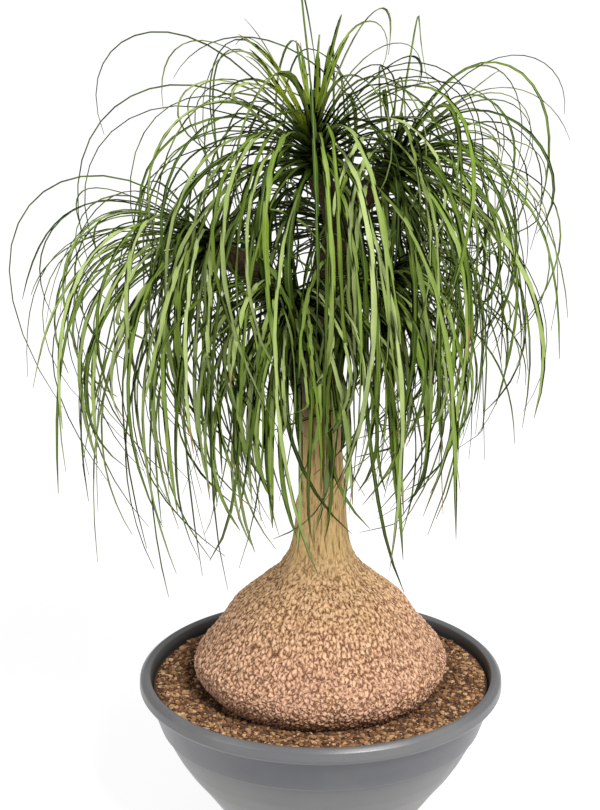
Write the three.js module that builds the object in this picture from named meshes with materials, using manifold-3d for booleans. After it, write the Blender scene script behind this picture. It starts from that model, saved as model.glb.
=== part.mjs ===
// A potted ponytail palm: a round grey bowl, gritty soil, a swollen barked stem that forks
// into six short branches, and a head of long arching leaves on each branch.
// Millimetres, +Z up. The origin is the middle of the pot's underside, which stands on the
// surface. The plant's front faces -Y, and +X is to its right.

import * as THREE from 'three';
import { mergeVertices } from 'three/addons/utils/BufferGeometryUtils.js';
import Module from 'manifold-3d';

const wasm = await Module();
wasm.setup();

const radians = THREE.MathUtils.degToRad;
const lerp = THREE.MathUtils.lerp;

// Sizes shared by several pieces

const clearance = 0.3;   // between pieces that touch
const roundSides = 40;   // facets round the pot, the soil and the swollen stem
const potHeight = 153;
const rimRadius = 180;
const soilLevel = potHeight - 13;

// Radius and height of the pot's outside: the pad and the foot ring that it stands on, the
// bowl, a faint raised line, and the rolled lip
const potOutside = [
  [0, 0], [30, 0], [33, 2.5], [62, 2.5], [64, 0], [76, 0], [86, 4.5], [103, 16], [121, 41],
  [134, 57.5], [144, 73], [157.6, 99.5], [159.8, 101.3], [172.4, 136.6], [177.4, 137],
  [rimRadius, 140.5], [179.4, 149], [175, potHeight],
];

// Radius and height of its inside, from the lip down to the middle of its floor
const potInside = [
  [169.5, 151.5], [167.6, 141.5], [153.6, 100.5], [139, 73.5], [129.3, 58.5], [116.5, 42.8],
  [98.5, 19.5], [80, 8], [0, 5],
];

// Radius and height above the soil level of the soil's top, which dips round the stem
const soilTop = [[158, 2.5], [148, 3], [137, 2], [127, 0], [116, -2.5], [60, -4], [0, -4]];
const soilLump = 0.9;

// Height above the ground, radius, and strength of the bark's relief, of the swollen stem
const caudexShape = [
  [94, 0, 0], [97, 48, 0], [108, 74, 0], [119, 90, 0], [128, 99.5, 0.5], [136, 108.5, 1],
  [144, 116, 1], [153, 122, 1], [162, 124.5, 1], [172, 122.5, 1], [182, 116.5, 1],
  [192.5, 109, 1], [202.5, 101, 1], [213, 94, 1], [223, 87.5, 1], [233, 78.5, 1],
  [243, 68, 1], [253, 56, 0.9], [263.5, 44, 0.8], [275, 34.5, 0.7], [289, 28.5, 0.6],
  [312, 25.5, 0.4], [341, 22.5, 0], [348, 0, 0],
];
const widestHeight = 162;
const barkHeight = 1.7;

// Middle line and radii of the trunk, and of the branches that leave it
const trunkLine = [[1, 0, 320], [0, -1, 380], [-1, -3, 440], [0, -2, 500], [6, 2, 560], [12, 4, 590]];
const trunkRadii = [24, 21, 19, 17.5, 15, 13];
const trunkSides = 10;
const trunkSteps = 7;
const branchRadii = [13, 12.5, 12, 12];
const branchSides = 7;
const branchSteps = 4;
const branchEnd = 14;    // the last stretch, straight into the crown

// The roots: which way each turns, and the radius and height where it starts and ends
const roots = [
  { turn: 15, start: [62, 114], end: [112, 84] },
  { turn: 78, start: [60, 112], end: [106, 72] },
  { turn: 140, start: [62, 114], end: [114, 88] },
  { turn: 198, start: [60, 112], end: [108, 76] },
  { turn: 262, start: [62, 114], end: [112, 82] },
  { turn: 318, start: [60, 112], end: [104, 68] },
];
const rootRadii = [15, 11, 7, 3.5];
const rootSides = 5;
const rootSteps = 3;

// The heads: the way from the trunk, where the crown stands on its branch, which way it
// grows, how many leaves it has, how long they are, how readily they hang, what share of their
// steepness they keep where they start upwards, and how much longer they are at the front
const heads = [
  {
    name: 'head_top', branch: [[10, 3, 560], [15, 4, 604], [10, 2, 636]], foot: [-2, 0, 664],
    axis: [-0.22, -0.08, 1], leaves: 96, length: 385, limp: 0.0127, rise: 0.92, front: 0.25,
  },
  {
    name: 'head_right', branch: [[10, 3, 566], [22, 6, 604], [36, 8, 634]], foot: [54, 8, 655],
    axis: [0.70, -0.10, 0.70], leaves: 80, length: 308, limp: 0.0108, rise: 0.75, front: 0,
  },
  {
    name: 'head_left', branch: [[-1, -2, 462], [-32, -5, 526], [-66, -8, 570]], foot: [-92, -10, 588],
    axis: [-0.80, -0.12, 0.50], leaves: 80, length: 345, limp: 0.0112, rise: 0.50, front: 0,
  },
  {
    name: 'head_front', branch: [[0, -2, 478], [-5, -10, 510], [-12, -18, 530]], foot: [-20, -36, 545],
    axis: [-0.20, -0.80, 0.50], leaves: 64, length: 265, limp: 0.0150, rise: 0.40, front: 0,
  },
  {
    name: 'head_back', branch: [[1, -1, 470], [8, 26, 528], [14, 56, 562]], foot: [16, 75, 575],
    axis: [0.10, 0.80, 0.60], leaves: 72, length: 310, limp: 0.0130, rise: 0.80, front: 0,
  },
  {
    name: 'head_low_right', branch: [[0, -2, 440], [10, -2, 498], [26, -3, 534]], foot: [40, -5, 548],
    axis: [0.72, -0.25, 0.55], leaves: 56, length: 248, limp: 0.0140, rise: 0.55, front: 0,
  },
];

// The crown is the growing tip that carries a head's leaves
const crown = { height: 50, radius: 15, topShare: 0.35, sides: 6, lowestLeaf: 6, highestLeaf: 48 };

// How the leaves of every head grow. Leaves stand in the golden angle round the crown, from
// the outermost and lowest to the innermost and youngest. Angles are in degrees, and each
// pair is the least and the most.
const habit = {
  goldenAngle: 137.50776405,
  lean: [98, 22],        // from the crown's axis, of the outermost and the innermost leaf
  leanPower: 0.75,
  leanSpread: 8,
  turnSpread: 10,
  youngFrom: 0.85,       // past this share of the leaves they are young and short
  lengthSpread: 0.22,
  limp: [0.50, 1.30],
  limpRamp: [0.35, 0.95],
  sweep: 45,             // how far a leaf turns aside along its length
  sway: [0.05, 0.32],
  swayTurn: 3.2,         // in radians, along the leaf
  curl: [-0.05, 0.95],   // how far its end bends back inward
  width: [6.0, 10.0],
  twist: 1.2,            // in radians, along the leaf
  steps: 24,             // in which a leaf's line is worked out
};

// A blade has a ring at some of those steps. It widens from its root, then tapers.
const blade = {
  rings: [0, 3, 7, 12, 17, 24],
  sunk: 6,               // how far it starts inside the crown
  rootShare: 0.34,
  widening: 5,
  taperPower: 0.85,
  tipWidth: 1.2,
  thickness: [1.5, 0.8],
};
const leafTries = 24;    // ways that a leaf may be bent to keep clear of other pieces
const tryTurn = 6;       // degrees that each further try may turn it
const tryLean = 3;

heads.forEach((head, index) => {
  head.number = index + 1;
  head.base = new THREE.Vector3(...head.foot);
  head.way = new THREE.Vector3(...head.axis).normalize();
});

// Materials

const material = (color, roughness) => new THREE.MeshStandardMaterial({ color, roughness, metalness: 0 });
const greyPlastic = material(0x7d8084, 0.4);
const brownGrit = material(0x6b4a32, 0.95);
const tanBark = material(0xb98a62, 0.85);
const greenLeaf = material(0x4f7a33, 0.5);

// Ways to make a solid

// Turns a geometry into a solid: positions only, doubles merged, flat triangles dropped
function solidOf(geometry) {
  const bare = geometry.clone();
  bare.deleteAttribute('normal');
  bare.deleteAttribute('uv');
  const merged = mergeVertices(bare, 1e-4);
  const index = merged.index.array;
  const triangles = [];
  for (let i = 0; i < index.length; i += 3) {
    const [a, b, c] = index.slice(i, i + 3);
    if (a !== b && b !== c && c !== a) {
      triangles.push(a, b, c);
    }
  }
  return new wasm.Manifold(new wasm.Mesh({
    numProp: 3,
    vertProperties: new Float32Array(merged.attributes.position.array),
    triVerts: new Uint32Array(triangles),
  }));
}

function meshOf(name, solid, look) {
  const { vertProperties, triVerts } = solid.getMesh();
  const geometry = new THREE.BufferGeometry();
  geometry.setAttribute('position', new THREE.BufferAttribute(vertProperties, 3));
  geometry.setIndex(new THREE.BufferAttribute(triVerts, 1));
  geometry.computeVertexNormals();
  const mesh = new THREE.Mesh(geometry, look);
  mesh.name = name;
  return mesh;
}

// A profile of [radius, height] turned round the Z axis. Its vertices come column by column.
function turned(profile) {
  const points = profile.map(([radius, height]) => new THREE.Vector2(radius, height));
  return new THREE.LatheGeometry(points, roundSides).rotateX(Math.PI / 2);
}

// A rod along a row of rings, each with its place, its two cross directions and its two half
// sizes. It starts as a plain cylinder with as many rings.
function rodAlong(rings, sides) {
  const steps = rings.length - 1;
  const geometry = new THREE.CylinderGeometry(1, 1, 1, sides, steps);
  const position = geometry.attributes.position;
  const vertex = new THREE.Vector3();
  for (let i = 0; i < position.count; i += 1) {
    vertex.fromBufferAttribute(position, i);
    if (sides === 3 && vertex.x === 0 && vertex.z === 0) {
      vertex.z = 1;      // a three-sided end needs no middle point
    }
    const ring = rings[Math.round((vertex.y + 0.5) * steps)];
    const place = ring.point.clone();
    place.addScaledVector(ring.across, vertex.x * ring.halfWidth);
    place.addScaledVector(ring.under, vertex.z * ring.halfDepth);
    position.setXYZ(i, place.x, place.y, place.z);
  }
  return solidOf(geometry);
}

// A round rod through points, tapering from one radius to the next. With swell it is larger
// all round, to cut the room that it needs in another piece.
function taperedRod(points, radii, sides, steps, swell = 0) {
  const curve = new THREE.CatmullRomCurve3(points.map((point) => new THREE.Vector3(...point)));
  const rings = [];
  for (let i = 0; i <= steps; i += 1) {
    const place = (i / steps) * (radii.length - 1);
    const first = Math.min(Math.floor(place), radii.length - 2);
    const radius = lerp(radii[first], radii[first + 1], place - first) + swell;
    const along = curve.getTangent(i / steps);
    const across = new THREE.Vector3(0, 1, 0).addScaledVector(along, -along.y).normalize();
    const under = new THREE.Vector3().crossVectors(across, along);
    rings.push({ point: curve.getPoint(i / steps), across, under, halfWidth: radius, halfDepth: radius });
  }
  rings[steps].point.addScaledVector(curve.getTangent(1), swell);
  return rodAlong(rings, sides);
}

// The pot

const pot = solidOf(turned([...potOutside, ...potInside]));

// The stem: swollen base, trunk, branches and roots, grown as one piece

// The bark's plates are the turned shape's own vertices, raised and sunk by turns
function swollenBase(swell = 0) {
  const geometry = turned(caudexShape.map(([height, radius]) => [radius, height]));
  const position = geometry.attributes.position;
  for (let i = 0; i < position.count; i += 1) {
    const ring = i % caudexShape.length;
    const column = Math.floor(i / caudexShape.length) % roundSides;
    const [height, radius, relief] = caudexShape[ring];
    const turn = column * 2 * Math.PI / roundSides;
    const plate = (column + ring) % 2 === 0 ? 1 : -1;
    const uneven = 0.75 + 0.25 * Math.sin(5 * turn + 3 * ring);
    const raised = barkHeight * relief * plate * uneven * Math.min(1, radius / 40);
    const leaning = 1 + 0.012 * Math.cos(turn - 0.4) * Math.sin(height / 60);
    const reach = radius === 0 ? 0 : radius * leaning + raised + swell;
    const lift = height < widestHeight ? -swell : swell;
    position.setXYZ(i, reach * Math.sin(turn), -reach * Math.cos(turn), height + lift);
  }
  return solidOf(geometry);
}

function rootRod({ turn, start, end }, swell = 0) {
  const angle = radians(turn);
  const at = ([radius, height], aside) => [
    radius * Math.cos(angle) - aside * Math.sin(angle),
    radius * Math.sin(angle) + aside * Math.cos(angle),
    height,
  ];
  const middle = [(start[0] + end[0]) / 2, (start[1] + end[1]) / 2 + 4];
  const points = [at(start, 0), at(middle, 5), at(end, -4)];
  return taperedRod(points, rootRadii, rootSides, rootSteps, swell);
}

// A branch ends square, just under the crown's foot
function branchRod(head) {
  const end = head.base.clone().addScaledVector(head.way, -clearance);
  const before = end.clone().addScaledVector(head.way, -branchEnd);
  const points = [...head.branch, before.toArray(), end.toArray()];
  return taperedRod(points, branchRadii, branchSides, branchSteps);
}

const stem = wasm.Manifold.union([
  swollenBase(),
  taperedRod(trunkLine, trunkRadii, trunkSides, trunkSteps),
  ...heads.map(branchRod),
  ...roots.map((root) => rootRod(root)),
]);

// The soil fills the pot to its level, with room for what the stem has below it

function soilBlock() {
  const [, above, below] = potInside;
  const share = (above[1] - soilLevel) / (above[1] - below[1]);
  const side = potInside.slice(2).reverse().map(([radius, height]) => (
    [Math.max(0, radius - clearance), height + clearance]));
  side.push([lerp(above[0], below[0], share) - 1.5 * clearance, soilLevel]);
  const top = soilTop.map(([radius, height]) => [radius, soilLevel + height]);
  const geometry = turned([...side, ...top]);
  const position = geometry.attributes.position;
  const rings = side.length + top.length;
  for (let i = 0; i < position.count; i += 1) {
    const ring = i % rings;
    const column = Math.floor(i / rings) % roundSides;
    if (ring >= side.length && ring < rings - 2) {
      const lump = Math.sin(column * 2.4 + ring * 1.9) + Math.sin(column * 4.1 - ring * 2.7);
      position.setZ(i, position.getZ(i) + soilLump * lump);
    }
  }
  return solidOf(geometry);
}

const buried = wasm.Manifold.union([
  swollenBase(clearance),
  ...roots.map((root) => rootRod(root, clearance)),
]);
const soil = soilBlock().subtract(buried);

// The leaves

// A row of even numbers from 0 to 1, the same each time for the same leaf and try: each seed
// is the last one times 16807, and what is left after division by the prime 2147483647
function drawFor(head, leaf, attempt) {
  const prime = 2147483647;
  let seed = 1 + (head * 7919 + leaf * 104729 + attempt * 1299709) % (prime - 1);
  const next = () => {
    seed = seed * 16807 % prime;
    return seed / prime;
  };
  for (let i = 0; i < 4; i += 1) {
    next();
  }
  return { next, spread: (size) => (2 * next() - 1) * size };
}

// The line of one leaf: it leaves the crown at its own lean and bends down under its own
// weight, more so the longer and limper it is
function leafLine(head, leaf, attempt) {
  const draw = drawFor(head.number, leaf, attempt);
  const t = (leaf + 0.5) / head.leaves;
  const young = Math.max(0, (t - habit.youngFrom) / (1 - habit.youngFrom));
  const turn = radians(leaf * habit.goldenAngle + draw.spread(habit.turnSpread + tryTurn * attempt));
  const lean = radians(lerp(...habit.lean, t ** habit.leanPower)
    + draw.spread(habit.leanSpread + tryLean * attempt));
  const side = new THREE.Vector3(0, 1, 0).cross(head.way).normalize();
  const other = new THREE.Vector3().crossVectors(head.way, side);
  const outward = side.multiplyScalar(Math.cos(turn)).addScaledVector(other, Math.sin(turn));
  const start = head.way.clone().multiplyScalar(Math.cos(lean)).addScaledVector(outward, Math.sin(lean));
  const steep = Math.asin(THREE.MathUtils.clamp(start.z, -0.9995, 0.9995));
  const fall = Math.PI / 2 + steep * (steep > 0 ? head.rise : 1);
  const bearing = Math.atan2(start.y, start.x);

  const growth = 1.05 - 0.08 * t - 0.30 * t * t - 0.30 * young + head.front * Math.max(0, -outward.y);
  const length = head.length * growth * (1 + draw.spread(habit.lengthSpread));
  const softness = lerp(habit.limp[1], habit.limp[0], draw.next() ** 2);
  const limp = head.limp * softness * (1 - 0.15 * young) * length;
  const sweep = radians(draw.spread(habit.sweep));
  const sway = lerp(...habit.sway, draw.next() ** 1.5);
  const swayWay = 2 * Math.PI * draw.next();
  const swayTurn = draw.spread(habit.swayTurn);
  const curl = lerp(...habit.curl, draw.next());
  const width = lerp(...habit.width, draw.next());
  const twist = draw.spread(habit.twist);

  const direction = (m) => {
    const bending = limp * m * (habit.limpRamp[0] + habit.limpRamp[1] * m);
    const bent = 2 * Math.atan(Math.tan(fall / 2) * Math.exp(-bending));
    const heading = bearing + sweep * m * m;
    const swing = swayWay + swayTurn * m;
    const reach = Math.sin(bent) - curl * m * m;
    return new THREE.Vector3(
      reach * Math.cos(heading) + sway * m * Math.cos(swing),
      reach * Math.sin(heading) + sway * m * Math.sin(swing),
      -Math.cos(bent),
    ).normalize();
  };
  const across = (m) => {
    const heading = bearing + sweep * m * m;
    const along = direction(m);
    const level = new THREE.Vector3(-Math.sin(heading), Math.cos(heading), 0);
    level.addScaledVector(along, -level.dot(along)).normalize();
    return level.applyAxisAngle(along, twist * m);
  };

  const root = head.base.clone();
  root.addScaledVector(head.way, lerp(crown.lowestLeaf, crown.highestLeaf, t));
  root.addScaledVector(outward, crown.radius * (1 - 0.6 * t));
  const points = [root];
  for (let j = 0; j < habit.steps; j += 1) {
    const step = direction((j + 0.5) / habit.steps).multiplyScalar(length / habit.steps);
    points.push(points[j].clone().add(step));
  }
  return { points, direction, across, width };
}

// A leaf as a blade with three sides, its keel underneath
function bladeAlong(line, swell = 0) {
  const rings = blade.rings.map((j) => {
    const m = j / habit.steps;
    const across = line.across(m);
    const under = new THREE.Vector3().crossVectors(across, line.direction(m));
    const widening = Math.min(1, blade.rootShare + blade.widening * m);
    const width = Math.max(blade.tipWidth, line.width * widening * (1 - m) ** blade.taperPower);
    const thickness = lerp(...blade.thickness, m);
    return {
      point: line.points[j].clone(),
      across,
      under,
      halfWidth: (width + 2 * swell) / Math.sqrt(3),
      halfDepth: (thickness + 2 * swell) / 1.5,
    };
  });
  rings[0].point.addScaledVector(line.direction(0), -blade.sunk);
  rings[rings.length - 1].point.addScaledVector(line.direction(1), swell);
  return rodAlong(rings, 3);
}

function crownOf(head) {
  const { radius, topShare, height, sides } = crown;
  const geometry = new THREE.CylinderGeometry(radius * topShare, radius, height, sides);
  geometry.translate(0, height / 2, 0);
  geometry.applyQuaternion(new THREE.Quaternion().setFromUnitVectors(new THREE.Vector3(0, 1, 0), head.way));
  geometry.translate(...head.foot);
  return solidOf(geometry);
}

// Every other leaf of a head. A leaf that would touch another piece is bent another way, and
// it is left out if none is clear. One that keeps clear of its own head's leaves is preferred.
function leafyHead(head, others) {
  const blades = [];
  for (let leaf = 0; leaf < head.leaves; leaf += 2) {
    let chosen = null;
    let free = false;
    for (let attempt = 0; attempt < leafTries && !free; attempt += 1) {
      const line = leafLine(head, leaf, attempt);
      const room = bladeAlong(line, clearance);
      if (others.every((other) => other.intersect(room).isEmpty())) {
        const candidate = bladeAlong(line);
        free = blades.every((other) => other.intersect(candidate).isEmpty());
        chosen = free || !chosen ? candidate : chosen;
      }
    }
    if (chosen) {
      blades.push(chosen);
    }
  }
  return wasm.Manifold.union([crownOf(head), ...blades]);
}

// The plant in its pot

const plant = new THREE.Group();
plant.add(meshOf('pot', pot, greyPlastic));
plant.add(meshOf('soil', soil, brownGrit));
plant.add(meshOf('stem', stem, tanBark));
const grown = [];
for (const head of heads) {
  const otherCrowns = heads.filter((other) => other !== head).map(crownOf);
  const solid = leafyHead(head, [stem, soil, pot, ...otherCrowns, ...grown]);
  grown.push(solid);
  plant.add(meshOf(head.name, solid, greenLeaf));
}

export default plant;
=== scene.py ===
"""A potted ponytail palm: a round grey bowl, gritty soil, a swollen stem with plated bark that
forks into six short branches, and a head of long arching leaves on each branch.

Metres, +Z up. The pot stands on the floor at the origin, and the plant's front faces -Y.
"""

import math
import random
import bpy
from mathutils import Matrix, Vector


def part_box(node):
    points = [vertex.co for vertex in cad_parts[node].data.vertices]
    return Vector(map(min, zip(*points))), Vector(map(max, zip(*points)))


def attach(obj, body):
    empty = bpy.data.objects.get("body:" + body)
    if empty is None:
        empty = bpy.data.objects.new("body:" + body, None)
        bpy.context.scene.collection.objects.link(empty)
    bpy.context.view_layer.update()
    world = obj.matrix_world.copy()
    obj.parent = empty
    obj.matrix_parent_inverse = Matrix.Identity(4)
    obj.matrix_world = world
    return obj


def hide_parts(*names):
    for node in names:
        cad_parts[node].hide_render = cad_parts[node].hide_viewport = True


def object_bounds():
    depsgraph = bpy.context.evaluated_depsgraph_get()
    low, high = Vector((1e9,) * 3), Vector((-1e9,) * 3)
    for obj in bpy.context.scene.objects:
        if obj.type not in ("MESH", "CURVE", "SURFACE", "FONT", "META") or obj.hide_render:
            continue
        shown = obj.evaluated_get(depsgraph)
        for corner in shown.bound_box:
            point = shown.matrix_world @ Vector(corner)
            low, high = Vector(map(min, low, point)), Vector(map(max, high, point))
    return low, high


bl_info = {
    "name": "Potted Ponytail Palm",
    "version": (1, 1, 0),
    "blender": (4, 5, 0),
    "location": "3D View > Sidebar > Palm",
    "description": "Builds a ponytail palm in a bowl: pot, soil, barked stem and heads of leaves",
    "category": "Add Mesh",
}

from types import SimpleNamespace as Row

import bmesh
import bpy
import numpy as np
from bpy.props import FloatProperty, FloatVectorProperty, IntProperty, PointerProperty
from mathutils import Matrix, Quaternion, Vector, noise
from mathutils.bvhtree import BVHTree
from mathutils.kdtree import KDTree

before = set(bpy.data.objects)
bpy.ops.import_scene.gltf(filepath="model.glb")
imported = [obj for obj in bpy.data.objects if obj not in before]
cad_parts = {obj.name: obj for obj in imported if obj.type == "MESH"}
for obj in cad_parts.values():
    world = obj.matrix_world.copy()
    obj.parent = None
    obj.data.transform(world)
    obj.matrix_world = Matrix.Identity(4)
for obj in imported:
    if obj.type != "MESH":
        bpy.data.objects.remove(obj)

MM = 0.001
CAD_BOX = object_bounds()
RIM_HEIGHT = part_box("pot")[1].z
SOIL_LEVEL = RIM_HEIGHT - 13 * MM
PLANT_MIDDLE = Vector((0, 0, 0.4))

# The pot's outline, in millimetres: radius, height and the radius of its rounding, from the
# middle of the underside round the lip, and from there to the middle of the floor
POT_OUTSIDE = [
    (0, 0, 0), (30, 0, 1), (33, 2.5, 1), (62, 2.5, 1), (64, 0, 1), (76, 0, 2.5), (86, 4.5, 10),
    (103, 16, 50), (121, 41, 60), (134, 57.5, 60), (144, 73, 60), (157.6, 99.5, 0.8),
    (159.8, 101.3, 0.8), (172.3, 136.6, 0.8), (177.4, 136.8, 1.6), (180.1, 140.5, 3), (179.6, 149, 4),
    (175, 153.2, 3.5),
]
POT_INSIDE = [
    (169.5, 151.8, 2.5), (167.6, 141.5, 8), (153.6, 100.5, 60), (139, 73.5, 60), (129.3, 58.5, 60),
    (116.5, 42.8, 60), (98.5, 19.5, 40), (80, 8, 14), (0, 5, 0),
]

# The soil's outline: under the stem, up along it, over the top and down the pot's wall
SOIL_OUTLINE = [
    (0, 93.5, 0), (48.5, 96.6, 4), (74.5, 107.7, 6), (90.5, 118.7, 4), (100, 127.7, 3),
    (106.5, 134, 1), (109.5, 138, 2), (119, 140, 6), (127, 141, 6), (137, 142, 6), (148, 143, 6),
    (158, 142.5, 4), (166.4, 140.5, 0.5), (153.2, 101, 60), (138.6, 73.9, 60), (128.9, 58.9, 60),
    (116.1, 43.2, 60), (98.1, 19.9, 40), (79.7, 8.3, 14), (0, 5.3, 0),
]
SURFACE_FROM = 133     # the outline's points above this height are the soil's surface
GRAIN_ROOM = (108.5 * MM, 163.5 * MM)

# Height above the ground and radius of the swollen stem, in millimetres
CAUDEX = [
    (94, 0), (97, 48), (108, 74), (119, 90), (128, 99.5), (136, 108.5), (144, 116), (153, 122),
    (162, 124.5), (172, 122.5), (182, 116.5), (192.5, 109), (202.5, 101), (213, 94), (223, 87.5),
    (233, 78.5), (243, 68), (253, 56), (263.5, 44), (275, 34.5), (289, 28.5), (312, 25.5),
    (341, 22.5), (348, 0),
]

# Middle lines and radii of the trunk, of the branches that leave it and of the roots
TRUNK_LINE = [(1, 0, 320), (0, -1, 380), (-1, -3, 440), (0, -2, 500), (6, 2, 560), (12, 4, 590)]
TRUNK_RADII = [24, 21, 19, 17.5, 15, 13]
BRANCH_RADII = [13, 12.8, 12.5, 12.2, 12]
BRANCH_END = 14
ROOTS = [
    (15, (62, 114), (112, 84)), (78, (60, 112), (106, 72)), (140, (62, 114), (114, 88)),
    (198, (60, 112), (108, 76)), (262, (62, 114), (112, 82)), (318, (60, 112), (104, 68)),
]
ROOT_RADII = [15, 9, 3.5]

# The heads, in millimetres: the way from the trunk, where the crown stands on its branch,
# which way it grows, how many leaves it has, how long they are, how readily they hang, what
# share of their steepness they keep where they start upwards, how much longer they are at the
# front, how fresh its young leaves look, and how many leaves of the further kinds it has
HEADS = [
    Row(name="head_top", branch=[(10, 3, 560), (15, 4, 604), (10, 2, 636)], foot=(-2, 0, 664),
        axis=(-0.22, -0.08, 1), leaves=96, length=385, limp=0.0127, rise=0.92, front=0.25,
        fresh=1.0, upright=10, draping=14, inner=22),
    Row(name="head_right", branch=[(10, 3, 566), (22, 6, 604), (36, 8, 634)], foot=(54, 8, 655),
        axis=(0.70, -0.10, 0.70), leaves=80, length=308, limp=0.0108, rise=0.75, front=0,
        fresh=0.3, upright=2, draping=7, inner=14),
    Row(name="head_left", branch=[(-1, -2, 462), (-32, -5, 526), (-66, -8, 570)], foot=(-92, -10, 588),
        axis=(-0.80, -0.12, 0.50), leaves=80, length=345, limp=0.0112, rise=0.50, front=0,
        fresh=0.3, upright=2, draping=8, inner=16),
    Row(name="head_front", branch=[(0, -2, 478), (-5, -10, 510), (-12, -18, 530)], foot=(-20, -36, 545),
        axis=(-0.20, -0.80, 0.50), leaves=64, length=265, limp=0.0150, rise=0.40, front=0,
        fresh=0.1, upright=0, draping=22, inner=40),
    Row(name="head_back", branch=[(1, -1, 470), (8, 26, 528), (14, 56, 562)], foot=(16, 75, 575),
        axis=(0.10, 0.80, 0.60), leaves=72, length=310, limp=0.0130, rise=0.80, front=0,
        fresh=0.2, upright=4, draping=0, inner=80),
    Row(name="head_low_right", branch=[(0, -2, 440), (10, -2, 498), (26, -3, 534)], foot=(40, -5, 548),
        axis=(0.72, -0.25, 0.55), leaves=56, length=248, limp=0.0140, rise=0.55, front=0,
        fresh=0.1, upright=0, draping=12, inner=30),
]
CROWN_HEIGHT = 50 * MM
CROWN_RADIUS = 15 * MM
LOWEST_LEAF = 6 * MM
HIGHEST_LEAF = 48 * MM
GOLDEN_ANGLE = 137.50776405  # in degrees, from each leaf to the next one round the crown
LEAF_STEPS = 24        # in which a leaf's line is worked out
LEAF_TRIES = 24        # ways that a leaf may be bent
LEAF_SUNK = 6 * MM     # how far a leaf starts inside the crown
LEAF_RINGS = 16        # of each blade, closer together where it bends
LEAF_ROOM = 4 * MM     # how far a leaf stays off the pot, the soil and the stem
TIP_ROOM = 1 * MM      # how far a tip may be from its place in the solids
BOX_ROOM = 6 * MM      # how far a leaf may reach past the solids' box
HIGHEST_ARCH = 812 * MM  # how high a leaf may arch that isn't in the solids

# The kinds of leaves: those of the solids, the free ones between them, young upright ones, broad
# ones that drape down the front, whose pale tones paint a highlight, and short dark ones inside,
# whose dark tones paint shade. For each its share of the full length, width and limpness, its
# tones from dark to pale, how far its end hooks inwards, and where on the crown it sits, as a
# share of the crown's height
LEAF_KINDS = {
    "solid": Row(length=1.0, breadth=0.9, limp=1.0, tones=(0.05, 0.90), hook=0.0),
    "free": Row(length=1.0, breadth=0.8, limp=1.0, tones=(0.05, 0.90), hook=1.3),
    "upright": Row(length=0.5, breadth=1.4, limp=1.0, tones=(0.2, 0.6), hook=0.0, seat=(0.95, 0.95)),
    "draping": Row(length=0.95, breadth=1.1, limp=1.0, tones=(0.5, 0.95), hook=0.0, seat=(0.20, 0.75)),
    "inner": Row(length=0.5, breadth=1.4, limp=1.15, tones=(0.0, 0.2), hook=0.5, seat=(0.05, 0.60)),
}
DRAPING_WAYS = (-0.98, -0.62)  # sines of the ways that the draping leaves go: not straight ahead

# The hem that the leaves' ends keep to: heights at places from left to right, in millimetres,
# and how much higher it is for each millimetre towards the front
HEM = [
    (-290, 385), (-210, 315), (-140, 285), (80, 285), (120, 320), (160, 365), (195, 431), (240, 500),
]
HEM_FRONT = 0.2
HIGHEST_TIP = 830 * MM  # above this a leaf of the solids is kept as short as it may be
SHORTEST_SOLID = 0.8   # share that is kept of a leaf of the solids
SHORTEST_LEAF = 0.55   # share that is kept of another leaf


# Arithmetic on the sockets of a node tree

def overloads(operation):
    """The methods of an operator for a term on its left and for one on its right."""
    return (lambda term, other: term.graph.math(operation, term, other),
            lambda term, other: term.graph.math(operation, other, term))


class Term:
    """A socket of a node tree. An expression on terms adds the Math nodes."""

    def __init__(self, graph, socket):
        self.graph = graph
        self.socket = socket

    __add__, __radd__ = overloads("ADD")
    __sub__, __rsub__ = overloads("SUBTRACT")
    __mul__, __rmul__ = overloads("MULTIPLY")


class Graph:
    """Adds nodes to the tree of a material or of a geometry modifier."""

    def __init__(self, tree):
        self.tree = tree

    def node(self, kind, inputs=None, stops=None, **settings):
        """Adds a node: settings and a ramp's stops first, then values or links of its sockets."""
        node = self.tree.nodes.new(kind)
        for name, value in settings.items():
            setattr(node, name, value)
        if stops:
            ramp = node.color_ramp.elements
            while len(ramp) < len(stops):
                ramp.new(1)
            for element, (position, color) in zip(ramp, stops):
                element.position = position
                element.color = (*color, 1)
        sockets = {socket.identifier: socket for socket in node.inputs}
        for name, value in (inputs or {}).items():
            if isinstance(value, Term):
                self.tree.links.new(value.socket, sockets[name])
            else:
                sockets[name].default_value = value
        return {socket.identifier: Term(self, socket) for socket in node.outputs}

    def math(self, operation, *values):
        inputs = dict(zip(("Value", "Value_001", "Value_002"), values))
        return self.node("ShaderNodeMath", inputs, operation=operation)["Value"]

    def smooth(self, value, low, high):
        """0 below low, 1 above high, and an easy slope between them."""
        inputs = {"Value": value, "From Min": low, "From Max": high}
        return self.node("ShaderNodeMapRange", inputs, interpolation_type="SMOOTHSTEP")["Result"]

    def mix(self, share, first, second):
        """Two colours mixed. The second one's share is from 0 to 1."""
        first, second = [color if isinstance(color, Term) else (*color, 1) for color in (first, second)]
        inputs = {"Factor_Float": share, "A_Color": first, "B_Color": second}
        return self.node("ShaderNodeMix", inputs, data_type="RGBA")["Result_Color"]

    def noise(self, place, scale, detail=3.0, roughness=0.5):
        inputs = {"Vector": place, "Scale": scale, "Detail": detail, "Roughness": roughness}
        return self.node("ShaderNodeTexNoise", inputs)["Fac"]

    def cells(self, place, feature="F1"):
        return self.node("ShaderNodeTexVoronoi", {"Vector": place, "Scale": 1.0}, feature=feature)

    def stretched(self, place, factors):
        inputs = {"Vector": place, "Vector_001": factors}
        return self.node("ShaderNodeVectorMath", inputs, operation="MULTIPLY")["Vector"]

    def part(self, vector, axis):
        return self.node("ShaderNodeSeparateXYZ", {"Vector": vector})[axis]


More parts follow.
